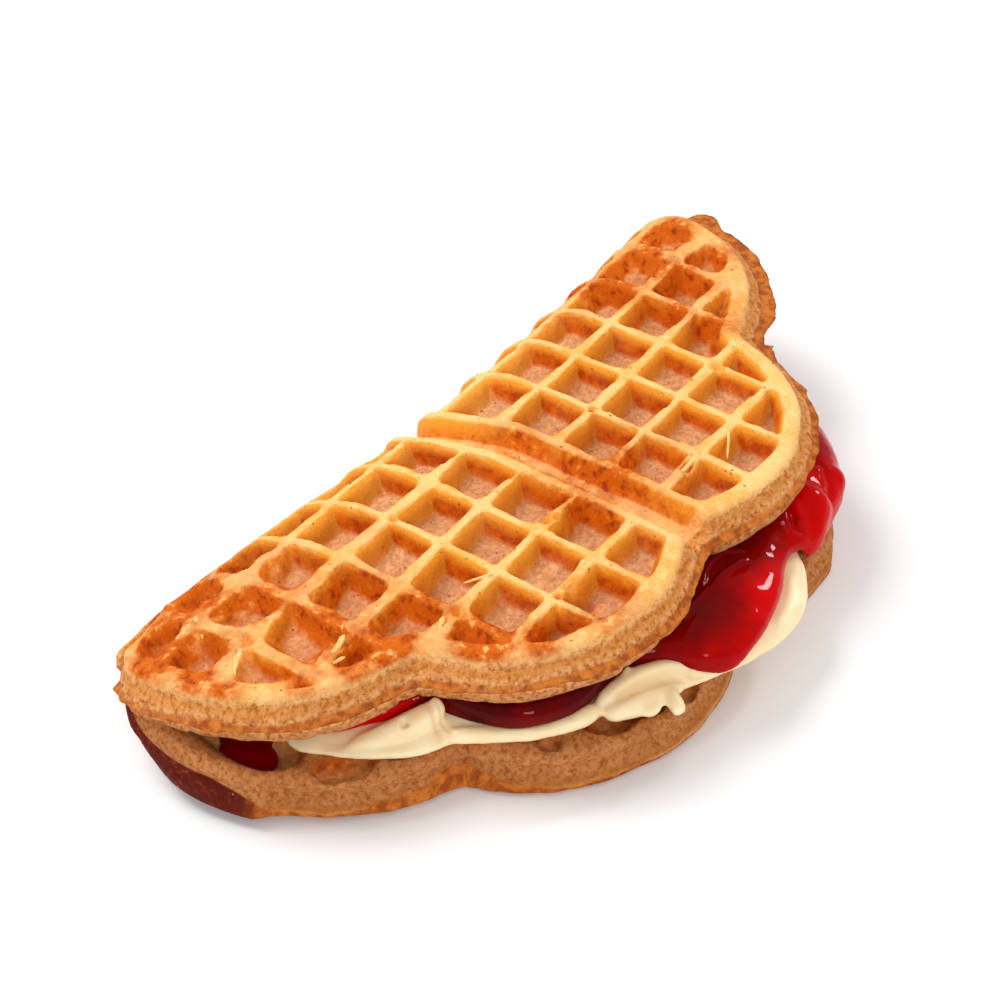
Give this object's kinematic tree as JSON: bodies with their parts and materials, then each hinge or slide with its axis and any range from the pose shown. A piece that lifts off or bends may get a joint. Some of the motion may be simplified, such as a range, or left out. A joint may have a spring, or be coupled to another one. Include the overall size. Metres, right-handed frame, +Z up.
{
  "type": "filled waffle",
  "caption": "Heart-shaped griddle waffle folded in half over whipped cream and red jam.",
  "frame": {"origin": "on the ground under the middle of the part's box", "axes": "+Z up; X along the fold of the waffle, 176 mm long; the open side with the filling faces -Y and the fold faces +Y"},
  "size_m": [0.1766, 0.0956, 0.0342],
  "materials": {
    "waffle": "matt, browned batter",
    "cream": "soft satin",
    "jam": "wet gloss"
  },
  "bodies": {
    "root": {"waffle": "waffle", "cream": "cream", "jam": "jam"}
  },
  "joints": []
}
